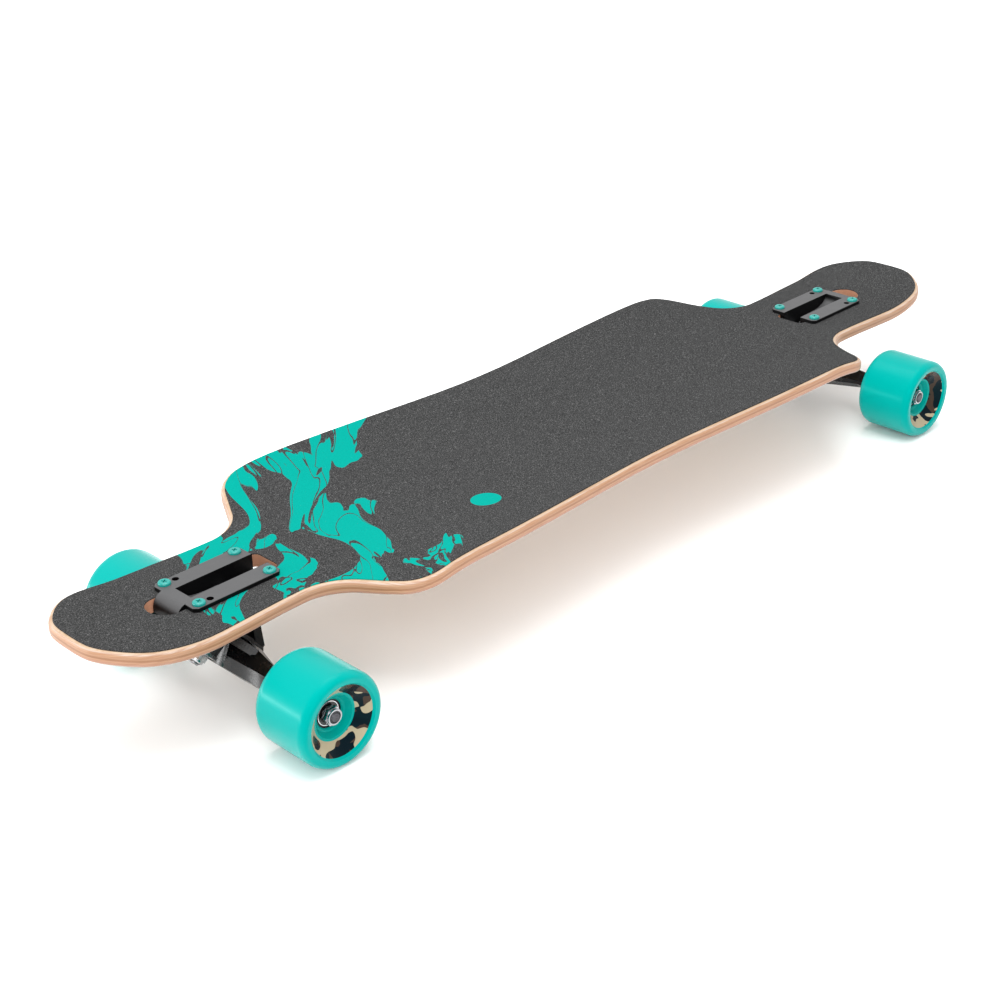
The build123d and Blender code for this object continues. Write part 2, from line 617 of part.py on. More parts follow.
def tyre(side):
    """Urethane tyre: rounded shoulders, a raised lip and a conical face down to the core."""
    with BuildPart() as ring:
        with BuildSketch(RADIAL):
            with BuildLine():
                outer = side * (WHEEL_OUTER_Y - MIDDLE_Y)
                for way in (1, -1):
                    face = side * MIDDLE_Y + way * outer
                    shoulder = face - way * side * SHOULDER
                    cone_top = face - way * side * 1.6
                    cone_foot = side * MIDDLE_Y + way * side * (CORE_FACE_Y - MIDDLE_Y)
                    Line((WHEEL_RADIUS, side * MIDDLE_Y), (WHEEL_RADIUS, shoulder))
                    Spline(
                        (WHEEL_RADIUS, shoulder), (35.6, face - way * side * 2.1), (LIP_RADIUS, face),
                        tangents=[(0, way * side), (-1, 0)],
                    )
                    Line((LIP_RADIUS, face), (CONE_TOP + 1.2, face - way * side * 0.3))
                    Line((CONE_TOP + 1.2, face - way * side * 0.3), (CONE_TOP, cone_top))
                    Line((CONE_TOP, cone_top), (CORE_RADIUS, cone_foot))
                    Line((CORE_RADIUS, cone_foot), (CORE_RADIUS, side * MIDDLE_Y))
            make_face()
        revolve(axis=AXLE_LINE)
    return ring.part


def core(side):
    """Hard hub inside the tyre, with a seat for each bearing and a web between them."""
    mouth = 0.9
    profile = [
        (CORE_RADIUS - 0.02, CORE_FACE_Y), (16.6, CORE_FACE_Y - 0.2), (13.4, CORE_FACE_Y - 4.2),
        (BEARING_OUTER + mouth, CORE_FACE_Y - 4.9), (BEARING_OUTER, CORE_FACE_Y - 5.8),
        (BEARING_OUTER, OUTER_BEARING_Y - BEARING_WIDTH / 2),
        (CORE_WEB_RADIUS, OUTER_BEARING_Y - BEARING_WIDTH / 2),
        (CORE_WEB_RADIUS, INNER_BEARING_Y + BEARING_WIDTH / 2),
        (BEARING_OUTER, INNER_BEARING_Y + BEARING_WIDTH / 2),
        (BEARING_OUTER, INNER_BEARING_Y - BEARING_WIDTH / 2),
        (BEARING_OUTER + mouth, INNER_BEARING_Y - BEARING_WIDTH / 2 - 0.6),
        (16.6, CORE_INNER_FACE_Y + 0.2), (CORE_RADIUS - 0.02, CORE_INNER_FACE_Y),
    ]
    with BuildPart() as hub:
        with BuildSketch(RADIAL):
            Polygon(*[(r, side * y) for r, y in profile], align=None)
        revolve(axis=AXLE_LINE)
    return hub.part


def shields(side):
    """Thin annular covers on both faces of both bearings."""
    with BuildPart() as covers:
        for centre in bearing_centres:
            for way in (1, -1):
                face = centre + way * (BEARING_WIDTH / 2 - SHIELD_INSET - SHIELD_THICKNESS / 2)
                with BuildSketch(across_axle(side * face)):
                    Circle(OUTER_RACE_HOLE - 0.01)
                    Circle(SHIELD_HOLE, mode=Mode.SUBTRACT)
                extrude(amount=SHIELD_THICKNESS / 2, both=True)
    return covers.part


def ball_places(side, centre):
    """Ball centres of one bearing."""
    for n in range(BALLS):
        angle = 2 * pi * n / BALLS
        yield (BALL_PITCH * cos(angle), side * centre, AXLE_HEIGHT + BALL_PITCH * sin(angle))


def balls(side):
    """Seven balls for each of a wheel's two bearings."""
    with BuildPart() as set_of_balls:
        for centre in bearing_centres:
            with Locations(*ball_places(side, centre)):
                Sphere(BALL_RADIUS)
    return set_of_balls.part


def cages(side):
    """Rings that keep the balls apart, one in each bearing."""
    with BuildPart() as rings:
        for centre in bearing_centres:
            with BuildSketch(across_axle(side * centre)):
                Circle(CAGE_RADIUS)
                Circle(CAGE_HOLE, mode=Mode.SUBTRACT)
            extrude(amount=CAGE_HALF_WIDTH, both=True)
        for centre in bearing_centres:
            for n in range(BALLS):
                angle = 2 * pi * n / BALLS
                outward = Vector(cos(angle), 0, sin(angle))
                start = Vector(0, side * centre, AXLE_HEIGHT) + outward * (CAGE_HOLE - 1)
                with BuildSketch(Plane(origin=start, x_dir=(0, 1, 0), z_dir=outward)):
                    Circle(GROOVE_RADIUS)
                extrude(amount=CAGE_RADIUS - CAGE_HOLE + 2, mode=Mode.SUBTRACT)
    return rings.part


# on the front truck, turned end for end, the side towards +Y comes out towards -Y
for side, front_name, rear_name in ((1, "right", "left"), (-1, "left", "right")):
    pieces = {
        "tyre": tyre(side),
        "core": core(side),
        "outer_races": races((side,), BEARING_OUTER - 0.01, OUTER_RACE_HOLE),
        "shields": shields(side),
        "balls": balls(side),
        "cages": cages(side),
    }
    for name, shape in pieces.items():
        write(shape.moved(Location((-TRUCK_X, 0, 0), (0, 0, 180))), "front_" + front_name + "_" + name)
        write(shape.moved(Location((TRUCK_X, 0, 0))), "rear_" + rear_name + "_" + name)
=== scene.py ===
"""Looks for the drop-through longboard: procedural materials, small detail pieces, light and camera."""
import math

import bmesh
import bpy
from mathutils import Matrix, Vector


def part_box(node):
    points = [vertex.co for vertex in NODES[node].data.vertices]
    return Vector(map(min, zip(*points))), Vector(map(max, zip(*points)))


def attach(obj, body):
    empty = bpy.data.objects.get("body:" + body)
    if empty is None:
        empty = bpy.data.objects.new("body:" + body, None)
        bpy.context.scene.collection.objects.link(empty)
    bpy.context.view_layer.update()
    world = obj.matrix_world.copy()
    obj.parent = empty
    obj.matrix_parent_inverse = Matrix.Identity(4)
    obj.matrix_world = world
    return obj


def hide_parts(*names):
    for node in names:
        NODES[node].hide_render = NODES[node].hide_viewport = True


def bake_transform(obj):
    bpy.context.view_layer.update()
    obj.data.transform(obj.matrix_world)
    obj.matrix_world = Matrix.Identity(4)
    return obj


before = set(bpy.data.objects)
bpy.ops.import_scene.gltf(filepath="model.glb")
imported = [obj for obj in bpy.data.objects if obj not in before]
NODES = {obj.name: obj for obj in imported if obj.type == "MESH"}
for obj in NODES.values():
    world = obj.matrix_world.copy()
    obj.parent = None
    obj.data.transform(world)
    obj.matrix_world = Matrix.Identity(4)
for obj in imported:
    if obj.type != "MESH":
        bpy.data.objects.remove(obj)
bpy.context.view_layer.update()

# ---- places, in metres, read from the frame ------------------------------------------------
ENDS = {"front": -1, "rear": 1}
SIDES = {"left": 1, "right": -1}
BASEPLATE_PROUD = 0.0034
GRIP_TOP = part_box("front_baseplate")[1][2] - BASEPLATE_PROUD
WHEEL_CENTRE_Z = (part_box("front_axle")[0][2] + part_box("front_axle")[1][2]) / 2
TRUCK_X = (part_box("rear_axle")[0][0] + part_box("rear_axle")[1][0]) / 2
AXLE_NUT_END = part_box("rear_axle_nuts")[1][1]
MM = 0.001

# deck shape, as the CAD bends it
CONCAVE = 0.93
CONCAVE_FULL_X = 0.225
CONCAVE_FADE = 0.105
KICK_START_X = 0.408
KICK_RADIUS = 0.180
KICK_SLOPE = math.tan(math.radians(8.6))
KICK_BEND = KICK_RADIUS * math.sin(math.radians(8.6))
GRIP_THICKNESS = 0.0008
PLY = 0.0015
PLIES = 7

# wheel shape
PRINT_INNER = 0.0183
PRINT_OUTER = 0.0279
PRINT_FACE_Y = 0.1225
PRINT_SOFT = 0.0002

# grip print
SPLASH_OUTBOARD_X = 0.428
SPLASH_EDGE = 0.004
SPOT_X, SPOT_Y = 0.149, 0.056
SPOT_RADIUS, SPOT_SOFT = 0.0125, 0.0005

# how much brighter than display white this scene lights an upward face
LIGHT_LEVEL = 1.95


# ---- node building -------------------------------------------------------------------------
class Shader:
    """A Principled material built from node calls. Sockets and plain numbers mix freely."""

    def __init__(self, name, **settings):
        self.material = bpy.data.materials.new(name)
        self.material.use_nodes = True
        self.tree = self.material.node_tree
        self.surface = self.tree.nodes["Principled BSDF"]
        for key, value in settings.items():
            socket = key.replace("_", " ").title().replace("Ior", "IOR")
            self.surface.inputs[socket].default_value = value
        self.object_coords = self.add("ShaderNodeTexCoord").outputs["Object"]

    def add(self, kind, **inputs):
        node = self.tree.nodes.new(kind)
        for key, value in inputs.items():
            self.plug(node.inputs[key], value)
        return node

    def plug(self, socket, value):
        if isinstance(value, bpy.types.NodeSocket):
            self.tree.links.new(value, socket)
        elif value is not None:
            socket.default_value = value

    def math(self, operation, a, b=None, c=None, clamp=False):
        node = self.tree.nodes.new("ShaderNodeMath")
        node.operation = operation
        node.use_clamp = clamp
        for socket, value in zip(node.inputs, (a, b, c)):
            self.plug(socket, value)
        return node.outputs[0]

    def axes(self, vector=None):
        node = self.add("ShaderNodeSeparateXYZ", Vector=vector or self.object_coords)
        return node.outputs["X"], node.outputs["Y"], node.outputs["Z"]

    def distance(self, a, b):
        """Length of the two sides together."""
        squares = self.math("ADD", self.math("MULTIPLY", a, a), self.math("MULTIPLY", b, b))
        return self.math("SQRT", squares)

    def vector(self, x, y, z):
        return self.add("ShaderNodeCombineXYZ", X=x, Y=y, Z=z).outputs[0]

    def noise(self, scale, detail=2.0, roughness=0.5, vector=None, distortion=0.0):
        node = self.add(
            "ShaderNodeTexNoise", Vector=vector or self.object_coords, Scale=scale, Detail=detail,
            Roughness=roughness, Distortion=distortion,
        )
        return node.outputs["Fac"]

    def step(self, value, low, high):
        """0 below low, 1 above high, smooth between."""
        node = self.tree.nodes.new("ShaderNodeMapRange")
        node.interpolation_type = "SMOOTHSTEP"
        self.plug(node.inputs["Value"], value)
        self.plug(node.inputs["From Min"], low)
        self.plug(node.inputs["From Max"], high)
        return node.outputs["Result"]

    def ramp(self, value, stops, constant=False):
        node = self.tree.nodes.new("ShaderNodeValToRGB")
        node.color_ramp.interpolation = "CONSTANT" if constant else "LINEAR"
        elements = node.color_ramp.elements
        while len(elements) < len(stops):
            elements.new(0.5)
        for element, (place, colour) in zip(elements, stops):
            element.position = place
            element.color = (*colour, 1)
        self.plug(node.inputs["Fac"], value)
        return node.outputs["Color"]

    def mix(self, factor, a, b):
        node = self.tree.nodes.new("ShaderNodeMix")
        node.data_type = "RGBA"
        self.plug(node.inputs["Factor"], factor)
        # the colour sockets are the ones with four channels
        colours = [s for s in node.inputs if s.type == "RGBA"]
        for socket, value in zip(colours, (a, b)):
            if isinstance(value, tuple) and len(value) == 3:
                value = (*value, 1)
            self.plug(socket, value)
        return [s for s in node.outputs if s.type == "RGBA"][0]

    def colour(self, value):
        if isinstance(value, tuple):
            value = (*value, 1)
        self.plug(self.surface.inputs["Base Color"], value)

    def rough(self, low, high, by):
        """Roughness from low to high as a 0 to 1 socket says."""
        node = self.add("ShaderNodeMapRange", Value=by)
        node.inputs["To Min"].default_value = low
        node.inputs["To Max"].default_value = high
        self.plug(self.surface.inputs["Roughness"], node.outputs["Result"])

    def bump(self, height, depth, strength=1.0):
        """Bump of a height socket, depth in metres."""
        node = self.add("ShaderNodeBump", Height=height, Strength=strength, Distance=depth)
        if self.surface.inputs["Normal"].is_linked:
            self.plug(node.inputs["Normal"], self.surface.inputs["Normal"].links[0].from_socket)
        self.plug(self.surface.inputs["Normal"], node.outputs["Normal"])

    def tint_reflections(self, tone):
        """Reflections take the body colour, as off a deeply coloured casting."""
        self.surface.inputs["Specular Tint"].default_value = (*tone, 1)

    def upward(self):
        """The surface normal's vertical part."""
        geometry = self.add("ShaderNodeNewGeometry")
        return self.axes(geometry.outputs["Normal"])[2]


def srgb(r, g, b):
    """Linear colour of an 8-bit display colour."""
    def channel(value):
        value = value / 255
        return value / 12.92 if value <= 0.04045 else ((value + 0.055) / 1.055) ** 2.4
    return (channel(r), channel(g), channel(b))


def dim(r, g, b):
    """An 8-bit display colour brought down to what reflects it under this scene's bright light."""
    return tuple(channel / LIGHT_LEVEL for channel in srgb(r, g, b))


TEAL = dim(0, 198, 189)
PRINT_TEAL = dim(0, 190, 175)


def deck_rise(s):
    """Height of the bent deck above its flat neck, as a socket."""
    x, y, _ = s.axes()
    reach = s.math("ABSOLUTE", x)
    fade = s.math("DIVIDE", s.math("SUBTRACT", reach, CONCAVE_FULL_X), CONCAVE_FADE, clamp=True)
    wave = s.math("MULTIPLY_ADD", s.math("COSINE", s.math("MULTIPLY", fade, math.pi)), 0.5, 0.5)
    concave = s.math("MULTIPLY", s.math("MULTIPLY", wave, CONCAVE), s.math("MULTIPLY", y, y))
    past = s.math("MAXIMUM", s.math("SUBTRACT", reach, KICK_START_X), 0.0)
    bend = s.math("MINIMUM", past, KICK_BEND)
    arc = s.math("DIVIDE", s.math("MULTIPLY", bend, bend), 2 * KICK_RADIUS)
    straight = s.math("MULTIPLY", s.math("SUBTRACT", past, bend), KICK_SLOPE)
    return s.math("ADD", concave, s.math("ADD", arc, straight))


def maple():
    """Seven bent plies: layered end grain on the edges and a long grained face veneer."""
    s = Shader("maple_plies", coat_weight=0.15, coat_roughness=0.25)
    x, y, z = s.axes()
    top = GRIP_TOP - GRIP_THICKNESS
    depth = s.math("SUBTRACT", s.math("ADD", deck_rise(s), top), z)
    wander = s.math("MULTIPLY_ADD", s.noise(30, 2), 0.0007, -0.00035)
    layer = s.math("DIVIDE", s.math("ADD", depth, wander), PLY * PLIES)
    plies = s.ramp(layer, [
        (0.0, dim(242, 214, 194)), (1 / 7, dim(226, 176, 136)), (2 / 7, dim(220, 166, 126)),
        (3 / 7, dim(184, 130, 88)), (4 / 7, dim(230, 176, 138)), (5 / 7, dim(222, 166, 138)),
        (6 / 7, dim(232, 198, 184)),
    ], constant=True)
    along = s.math("ADD", x, s.math("MULTIPLY", y, 0.6))
    fibre = s.noise(1, 5, 0.65, s.vector(s.math("MULTIPLY", along, 45), 0.0, s.math("MULTIPLY", z, 900)))
    glue = s.math("FRACT", s.math("DIVIDE", s.math("ADD", depth, wander), PLY))
    glue_line = s.math("MULTIPLY", s.step(glue, 0.86, 0.96), 0.35)
    edge = s.mix(s.math("MULTIPLY", s.step(fibre, 0.4, 0.62), 0.7), plies, dim(206, 146, 104))
    edge = s.mix(glue_line, edge, dim(150, 98, 70))
    # painted light: the wood of the drop-through cut-out's sides is given a lighter colour than the
    # outer edges, to offset the shade in the opening
    across = s.step(s.math("ABSOLUTE", y), 0.03, 0.025)
    painted_light_cutout = s.math("MULTIPLY", across, s.step(s.math("ABSOLUTE", x), 0.46, 0.45))
    edge = s.mix(painted_light_cutout, edge, s.mix(fibre, dim(255, 200, 164), dim(246, 160, 122)))
    grain_place = s.vector(s.math("MULTIPLY", x, 5), s.math("MULTIPLY", y, 60), 0.0)
    figure = s.noise(1.6, 6, 0.6, grain_place, 1.2)
    veneer = s.ramp(figure, [
        (0.3, dim(212, 168, 128)), (0.5, dim(232, 196, 160)), (0.72, dim(244, 216, 188)),
    ])
    pores = s.noise(1, 2, 0.5, s.vector(s.math("MULTIPLY", x, 60), s.math("MULTIPLY", y, 1500), 0.0))
    veneer = s.mix(s.math("MULTIPLY", s.step(pores, 0.62, 0.74), 0.3), veneer, dim(170, 120, 86))
    flat = s.step(s.math("ABSOLUTE", s.upward()), 0.8, 0.93)
    s.colour(s.mix(flat, edge, veneer))
    s.rough(0.38, 0.6, fibre)
    s.bump(fibre, 0.12 * MM, 0.5)
    return s.material


def splash_mask(s):
    """Marbled splash across one end of the grip: 1 where it is teal."""
    x, y, _ = s.axes()
    flat = s.vector(x, y, 0.0)
    drift = s.add("ShaderNodeTexNoise", Vector=flat, Scale=9.0, Detail=1.0)
    offset = s.tree.nodes.new("ShaderNodeVectorMath")
    offset.operation = "MULTIPLY_ADD"
    s.plug(offset.inputs[0], drift.outputs["Color"])
    offset.inputs[1].default_value = (0.11, 0.11, 0.0)
    s.plug(offset.inputs[2], flat)
    wx, wy, _ = s.axes(offset.outputs[0])
    # the streaks run diagonally across the board
    lean = math.radians(52)
    cos, sin = math.cos(lean), math.sin(lean)
    along = s.math("ADD", s.math("MULTIPLY", wx, cos), s.math("MULTIPLY", wy, sin))
    across = s.math("SUBTRACT", s.math("MULTIPLY", wy, cos), s.math("MULTIPLY", wx, sin))
    streak_place = s.vector(s.math("MULTIPLY", along, 13), s.math("MULTIPLY", across, 34), 0.0)
    streaks = s.noise(1, 2.5, 0.45, streak_place, 0.5)
    vein_place = s.vector(s.math("MULTIPLY", along, 15), s.math("MULTIPLY", across, 44), 3.7)
    veins = s.noise(1, 1.5, 0.4, vein_place, 1.2)
    vein = s.math("ABSOLUTE", s.math("SUBTRACT", veins, 0.5))
    # dense beside the neck, ending in wisps along a curve across the platform
    square = s.math("MULTIPLY", y, y)
    limit = s.math("ADD", s.math("MULTIPLY_ADD", y, 0.51, -0.165), s.math("MULTIPLY", square, 4.0))
    inboard = s.math("DIVIDE", s.math("SUBTRACT", limit, x), 0.075, clamp=True)
    outboard = s.math("DIVIDE", s.math("ADD", x, SPLASH_OUTBOARD_X), 0.03, clamp=True)
    cover = s.math("MULTIPLY", inboard, outboard)
    threshold = s.math("MULTIPLY_ADD", cover, -0.285, 0.785)
    below = s.math("SUBTRACT", threshold, SPLASH_EDGE)
    above = s.math("ADD", threshold, SPLASH_EDGE)
    teal = s.step(streaks, below, above)
    open_vein = s.step(vein, 0.009, 0.014)
    return s.math("MULTIPLY", teal, open_vein)


def spot_mask(s):
    """Plain printed spot on the near side of the platform."""
    x, y, _ = s.axes()
    reach = s.distance(s.math("ADD", x, SPOT_X), s.math("ADD", y, SPOT_Y))
    return s.step(reach, SPOT_RADIUS, SPOT_RADIUS - SPOT_SOFT)


def grip():
    """Mineral grit on dark tape with the printed end."""
    s = Shader("grip_tape_grit", roughness=0.95, specular_ior_level=0.04)
    grit = s.noise(1250, 2, 0.7)
    coarse = s.noise(330, 3, 0.6)
    patch = s.noise(14, 3, 0.6)
    grey = s.ramp(grit, [
        (0.34, dim(38, 38, 38)), (0.48, dim(72, 72, 72)),
        (0.57, dim(88, 88, 88)), (0.7, dim(164, 164, 164)),
    ])
    grey = s.mix(s.math("MULTIPLY", s.step(coarse, 0.35, 0.65), 0.35), grey, dim(62, 63, 64))
    grey = s.mix(s.math("MULTIPLY", patch, 0.15), grey, dim(96, 97, 97))
    teal = s.mix(s.math("MULTIPLY", s.step(grit, 0.4, 0.62), 0.3), PRINT_TEAL, dim(0, 164, 150))
    printed = s.math("MAXIMUM", splash_mask(s), spot_mask(s))
    s.colour(s.mix(printed, grey, teal))
    s.bump(grit, 0.35 * MM, 0.8)
    return s.material


def axle_distance(s, x, z):
    """Distance from the nearer axle's centre line, as a socket."""
    up = s.math("SUBTRACT", z, WHEEL_CENTRE_Z)
    out = s.math("SUBTRACT", s.math("ABSOLUTE", x), TRUCK_X)
    return s.distance(up, out)


def urethane():
    """Cast tyre: satin teal, with a camouflage print on the conical outer face."""
    s = Shader("teal_urethane", roughness=0.3, specular_ior_level=0.26)
    s.tint_reflections(TEAL)
    x, y, z = s.axes()
    radius = axle_distance(s, x, z)
    past_core = s.step(radius, PRINT_INNER, PRINT_INNER + PRINT_SOFT)
    inside_lip = s.step(radius, PRINT_OUTER, PRINT_OUTER - PRINT_SOFT)
    ring = s.math("MULTIPLY", past_core, inside_lip)
    outer_face = s.step(s.math("ABSOLUTE", y), PRINT_FACE_Y - PRINT_SOFT, PRINT_FACE_Y)
    printed = s.math("MULTIPLY", ring, outer_face)
    blotch = s.noise(58, 1.0, 0.4, None, 0.9)
    second = s.noise(75, 1.0, 0.4, s.vector(z, x, y), 0.8)
    camouflage = s.mix(s.step(second, 0.53, 0.535), dim(22, 26, 38), dim(88, 66, 56))
    camouflage = s.mix(s.step(blotch, 0.515, 0.52), camouflage, dim(218, 202, 168))
    cloud = s.noise(35, 3, 0.55)
    body = s.mix(s.math("MULTIPLY", cloud, 0.12), TEAL, dim(0, 188, 178))
    s.colour(s.mix(printed, body, camouflage))
    s.rough(0.2, 0.28, cloud)
    s.bump(s.noise(700, 3, 0.6), 0.03 * MM, 0.4)
    return s.material


def moulded_core():
    """Nylon hub with a fine moulded texture."""
    s = Shader("teal_core", roughness=0.38, specular_ior_level=0.3)
    s.tint_reflections(TEAL)
    fine = s.noise(900, 3, 0.6)
    s.colour(s.mix(s.math("MULTIPLY", fine, 0.25), dim(0, 192, 180), dim(0, 160, 150)))
    s.rough(0.32, 0.45, fine)
    s.bump(fine, 0.04 * MM, 0.5)
    return s.material


def baseplate_metal():
    """Dark anodised casting: upward faces are painted a lighter grey as a painted highlight, walls stay
    near black.
    """
    s = Shader("baseplate_metal", metallic=0.0, roughness=0.42, specular_ior_level=0.14)
    cloud = s.noise(90, 4, 0.6)
    fine = s.noise(1400, 2, 0.6)
    # painted highlight: a lighter grey for upward faces, standing in for the light they catch; fine
    # brighter specks are mixed into it
    painted_sheen = s.mix(s.math("MULTIPLY", cloud, 0.4), dim(110, 110, 111), dim(98, 98, 100))
    specked_painted_sheen = s.mix(s.math("MULTIPLY", s.step(fine, 0.6, 0.8), 0.4), painted_sheen, dim(134, 134, 136))
    dark = s.mix(s.math("MULTIPLY", cloud, 0.5), srgb(3, 3, 4), srgb(9, 9, 10))
    # upward faces take the painted highlight grey, walls the near black body colour
    s.colour(s.mix(s.step(s.upward(), 0.25, 0.8), dark, specked_painted_sheen))
    s.rough(0.36, 0.55, cloud)
    s.bump(fine, 0.03 * MM, 0.5)
    return s.material


def black_cast():
    """Gloss black powder coat with a faint orange peel; faces turned down are painted greyer as a
    painted reflection of the pale floor.
    """
    s = Shader("black_powder_coat", roughness=0.25, specular_ior_level=0.28)
    peel = s.noise(420, 2, 0.5)
    cloud = s.noise(60, 3, 0.6)
    black = s.mix(s.math("MULTIPLY", cloud, 0.6), srgb(2, 2, 3), srgb(7, 7, 8))
    # painted reflection: a grey for faces turned down, standing in for the pale floor mirrored in the
    # gloss
    painted_floor_reflection = s.mix(cloud, dim(48, 48, 49), dim(62, 62, 63))
    s.colour(s.mix(s.step(s.upward(), 0.1, -0.5), black, painted_floor_reflection))
    s.rough(0.2, 0.34, cloud)
    s.bump(peel, 0.12 * MM, 0.5)
    return s.material


def bright_metal(name, tone, low, high, scale=260):
    """Plated or ground steel with fine machining marks and slight staining."""
    s = Shader(name, metallic=1.0)
    marks = s.noise(scale, 4, 0.65)
    fine = s.noise(scale * 7, 2, 0.5)
    dark = tuple(channel * 0.62 for channel in tone)
    s.colour(s.mix(s.step(marks, 0.35, 0.75), tone, dark))
    s.rough(low, high, marks)
    s.bump(fine, 0.02 * MM, 0.4)
    return s.material


def plain_moulded(name, tone, low, high, peel_scale=800):
    """Moulded plastic, rubber or enamel with a fine surface."""
    s = Shader(name)
    cloud = s.noise(peel_scale / 8, 3, 0.6)
    fine = s.noise(peel_scale, 2, 0.6)
    lighter = tuple(channel * 1.15 + 0.002 for channel in tone)
    s.colour(s.mix(s.math("MULTIPLY", cloud, 0.5), tone, lighter))
    s.rough(low, high, cloud)
    s.bump(fine, 0.04 * MM, 0.4)
    return s.material


def bearing_ring():
    """Black oxide ring with a bright ground edge beside the shield."""
    s = Shader("bearing_ring", metallic=1.0)
    x, _, z = s.axes()
    radius = axle_distance(s, x, z)
    bright = s.math("MULTIPLY", s.step(radius, 0.0088, 0.00885), s.step(radius, 0.0095, 0.00945))
    fine = s.noise(900, 3, 0.6)
    s.colour(s.mix(bright, srgb(34, 34, 36), srgb(214, 214, 216)))
    s.rough(0.18, 0.36, fine)
    return s.material


MATERIALS = {
    "deck": maple(),
    "grip_tape": grip(),
    "baseplate": baseplate_metal(),
    "hanger": black_cast(),
    "tyre": urethane(),
    "core": moulded_core(),
    "outer_races": bearing_ring(),
    "inner_races": bright_metal("bearing_steel", srgb(206, 207, 210), 0.12, 0.26),
    "balls": bright_metal("ball_steel", srgb(220, 221, 224), 0.05, 0.12),
    "cages": plain_moulded("cage_nylon", srgb(176, 158, 118), 0.4, 0.6),
    "shields": plain_moulded("bearing_shield", srgb(12, 12, 13), 0.22, 0.38),
    "axle": bright_metal("axle_steel", srgb(84, 84, 88), 0.28, 0.45),
    "axle_nuts": bright_metal("zinc_nut", srgb(176, 177, 181), 0.12, 0.3),
    "speed_washers": bright_metal("zinc_washer", srgb(120, 121, 124), 0.16, 0.34),
    "bearing_spacers": bright_metal("spacer_steel", srgb(170, 171, 174), 0.2, 0.36),
    "kingpin": bright_metal("kingpin_steel", srgb(176, 177, 180), 0.16, 0.36),
    "kingpin_nut": bright_metal("zinc_kingpin_nut", srgb(210, 211, 214), 0.12, 0.3),
    "board_cup_washer": bright_metal("zinc_cup", srgb(200, 201, 204), 0.16, 0.34),
    "road_cup_washer": bright_metal("zinc_cup_road", srgb(200, 201, 204), 0.16, 0.34),
    "board_bushing": plain_moulded("bushing_urethane", srgb(30, 30, 32), 0.3, 0.45),
    "road_bushing": plain_moulded("bushing_urethane_road", srgb(44, 44, 46), 0.3, 0.45),
    "pivot_cup": plain_moulded("pivot_cup_urethane", srgb(28, 28, 30), 0.35, 0.5),
    "mounting_bolts": plain_moulded("teal_enamel", dim(0, 178, 168), 0.22, 0.34, 1600),
    "mounting_nuts": bright_metal("zinc_mounting_nut", srgb(190, 191, 194), 0.18, 0.36),
}

for node_name, node in NODES.items():
    match = max((key for key in MATERIALS if node_name.endswith(key)), key=len)
    node.data.materials.clear()
    node.data.materials.append(MATERIALS[match])


# ---- small pieces ---------------------------------------------------------------------------
def lathe(name, profile, centre, way, body, material, segments=40):
    """Closed ring turned about an axis; the profile gives radius and place along the axis in mm.
    A ring with no body is left unattached."""
    axis = Vector(way).normalized()
    across = axis.orthogonal().normalized()
    other = axis.cross(across)
    mesh = bmesh.new()
    rings = []
    for n in range(segments):
        angle = 2 * math.pi * n / segments
        out = across * math.cos(angle) + other * math.sin(angle)
        rings.append([mesh.verts.new(Vector(centre) + out * r * MM + axis * a * MM) for r, a in profile])
    for n, ring in enumerate(rings):
        following = rings[(n + 1) % segments]
        for k in range(len(profile)):
            m = (k + 1) % len(profile)
            mesh.faces.new((ring[k], ring[m], following[m], following[k]))
    bmesh.ops.recalc_face_normals(mesh, faces=mesh.faces)
    data = bpy.data.meshes.new(name)
    mesh.to_mesh(data)
    mesh.free()
    for face in data.polygons:
        face.use_smooth = True
    data.materials.append(material)
    piece = bpy.data.objects.new(name, data)
    bpy.context.scene.collection.objects.link(piece)
    if body:
        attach(piece, body)
    return piece


def rounded_ring(hole, radius, start, end, soft=0.25):
    """Profile of a ring with softened outer corners."""
    return [
        (hole, start), (radius, start), (radius, end - soft),
        (radius - 0.3 * soft, end - 0.3 * soft), (radius - soft, end), (hole + soft, end),
        (hole + 0.3 * soft, end - 0.3 * soft), (hole, end - soft),
    ]


def thread(radius, depth, pitch, start, turns):
    """Profile of the ridges of a thread."""
    ridges = []
    for n in range(turns):
        ridges += [(radius - depth, start + n * pitch), (radius, start + (n + 0.5) * pitch)]
    end = start + turns * pitch
    return ridges + [(radius - depth, end), (radius - 3 * depth, end), (radius - 3 * depth, start)]


def soft_bushing(end, name, way, ring, near_radius, far_radius):
    """Urethane ring squeezed between its cup washer, on the board, and the tilting hanger ring."""
    near, far = BUSHING_NEAR, BUSHING_FAR
    flare = far_radius - near_radius
    profile = [
        (BUSHING_BORE_NEAR, near), (near_radius - 1, near), (near_radius - 0.3, near + 0.3),
    ]
    for n in range(1, BUSHING_BANDS):
        share = n / BUSHING_BANDS
        profile.append((near_radius + flare * share, near + (far - near) * share))
    profile += [
        (far_radius - 0.3, far - 0.3), (far_radius - 1, far), (BUSHING_BORE_FAR, far),
    ]
    piece = lathe(
        f"{end}_{name}_urethane", profile, ring, way, None, MATERIALS[name], 72,
    )
    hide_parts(f"{end}_{name}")
    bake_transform(piece)


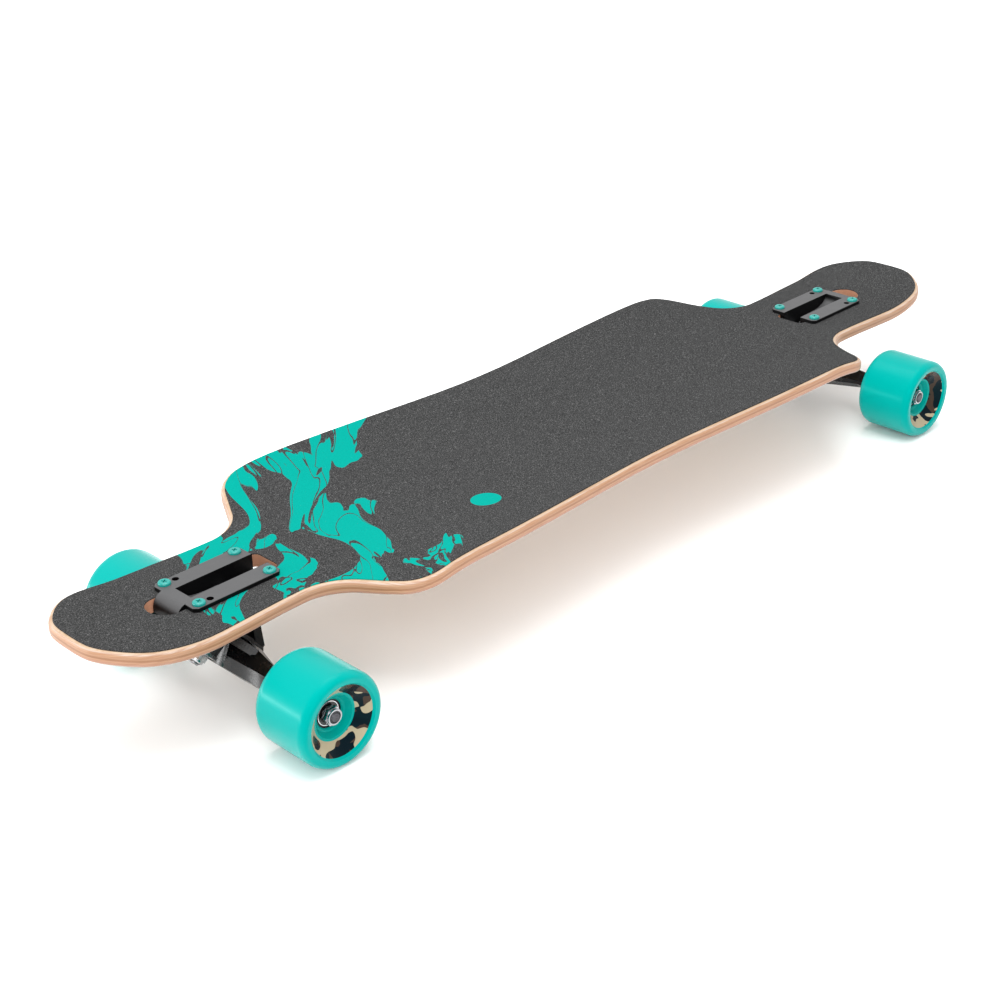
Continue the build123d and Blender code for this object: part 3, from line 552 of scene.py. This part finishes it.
INSERT = plain_moulded("nylon_insert", srgb(20, 22, 26), 0.3, 0.45)
THREAD = bright_metal("thread_steel", srgb(150, 151, 154), 0.22, 0.4)
STEER = math.radians(50)
RING_U, RING_Z = 7.1, 61.1
NUT_END = 27.85
BOLT_U, BOLT_Y = 31.75, 20.65
LOCK_NUT_END_Z = 81.8
BUSHING_NEAR, BUSHING_FAR = 3.3, 18.25
BUSHING_BORE_NEAR, BUSHING_BORE_FAR = 6.2, 5.0
BUSHING_BANDS = 8
BUSHING_WAIST, BUSHING_BULGE, ROAD_BUSHING_FAR = 12.6, 13.2, 12.4
for end, way in ENDS.items():
    truck = Vector((way * TRUCK_X, 0, 0))
    for side, sign in SIDES.items():
        nut_end = Vector((truck.x, sign * AXLE_NUT_END, WHEEL_CENTRE_Z))
        lathe(f"{end}_{side}_axle_nut_insert", rounded_ring(4.0, 4.9, -0.4, 0.35), nut_end, (0, sign, 0),
              f"{end}_hanger_body", INSERT)
    ring = truck + Vector((way * RING_U, 0, RING_Z)) * MM
    kingpin_way = Vector((way * math.sin(STEER), 0, -math.cos(STEER)))
    soft_bushing(end, "board_bushing", -kingpin_way, ring, BUSHING_WAIST, BUSHING_BULGE)
    soft_bushing(end, "road_bushing", kingpin_way, ring, BUSHING_BULGE, ROAD_BUSHING_FAR)
    tip = ring + kingpin_way * NUT_END * MM
    lathe(f"{end}_kingpin_nut_insert", rounded_ring(4.8, 5.7, -0.5, 0.4), tip, kingpin_way,
          "board", INSERT)
    lathe(f"{end}_kingpin_thread", thread(4.86, 0.3, 0.4, 0.0, 3), tip, kingpin_way,
          "board", THREAD)
    for u in (BOLT_U, -BOLT_U):
        for y in (BOLT_Y, -BOLT_Y):
            place = truck + Vector((u, y, LOCK_NUT_END_Z)) * MM
            spot = f"{end}_{'outer' if u * way > 0 else 'inner'}_{'left' if y > 0 else 'right'}"
            lathe(f"{spot}_lock_nut_insert", rounded_ring(2.45, 3.3, -0.4, 0.3, 0.2), place, (0, 0, -1),
                  "board", INSERT)
            lathe(f"{spot}_bolt_thread", thread(2.5, 0.2, 0.5, 0.2, 3), place, (0, 0, -1),
                  "board", THREAD)


# ---- light, floor and camera ---------------------------------------------------------------
def soft_light(name, place, aim, size, power):
    lamp = bpy.data.lights.new(name, "AREA")
    lamp.shape = "RECTANGLE"
    lamp.size = size[0]
    lamp.size_y = size[1]
    lamp.energy = power
    holder = bpy.data.objects.new(name, lamp)
    holder.location = place
    holder.rotation_euler = (Vector(aim) - Vector(place)).to_track_quat("-Z", "Y").to_euler()
    bpy.context.scene.collection.objects.link(holder)


soft_light("overhead_softbox", (-0.1, 0.1, 1.9), (0, 0, 0), (2.2, 1.4), 40)
soft_light("camera_side_softbox", (-1.5, -1.4, 1.2), (0, 0, 0.05), (1.2, 1.0), 14)
soft_light("low_strip", (-2.4, 1.7, 0.32), (-0.37, -0.1, 0.04), (2.4, 0.16), 42)

world = bpy.data.worlds.new("studio")
world.use_nodes = True
background = world.node_tree.nodes["Background"]
background.inputs["Color"].default_value = (1, 1, 1, 1)
background.inputs["Strength"].default_value = 1.12
bpy.context.scene.world = world
bpy.context.scene.view_settings.view_transform = "Standard"

bpy.ops.mesh.primitive_plane_add(size=24, location=(0, 0, -0.0005))
floor = bpy.context.object
floor.name = "studio_floor"
pale = Shader("studio_paper", roughness=0.9, specular_ior_level=0.1)
pale.colour(pale.mix(pale.noise(3), (0.94, 0.94, 0.94), (0.96, 0.96, 0.96)))
floor.data.materials.append(pale.material)

CAMERA_PLACE = Vector((-0.9991, -0.9280, 0.7255))
YAW, PITCH, ROLL = (math.radians(a) for a in (-44.79, 27.20, -1.36))
back = Vector((math.sin(YAW) * math.cos(PITCH), -math.cos(YAW) * math.cos(PITCH), math.sin(PITCH)))
level = Vector((math.cos(YAW), math.sin(YAW), 0))
upright = back.cross(level)
right = level * math.cos(ROLL) + upright * math.sin(ROLL)
over = upright * math.cos(ROLL) - level * math.sin(ROLL)
lens = bpy.data.cameras.new("camera")
lens.lens = 63.04
lens.sensor_width = 36
camera = bpy.data.objects.new("camera", lens)
turn = Matrix((right, over, back)).transposed().to_4x4()
camera.matrix_world = Matrix.Translation(CAMERA_PLACE) @ turn
bpy.context.scene.collection.objects.link(camera)
bpy.context.scene.camera = camera
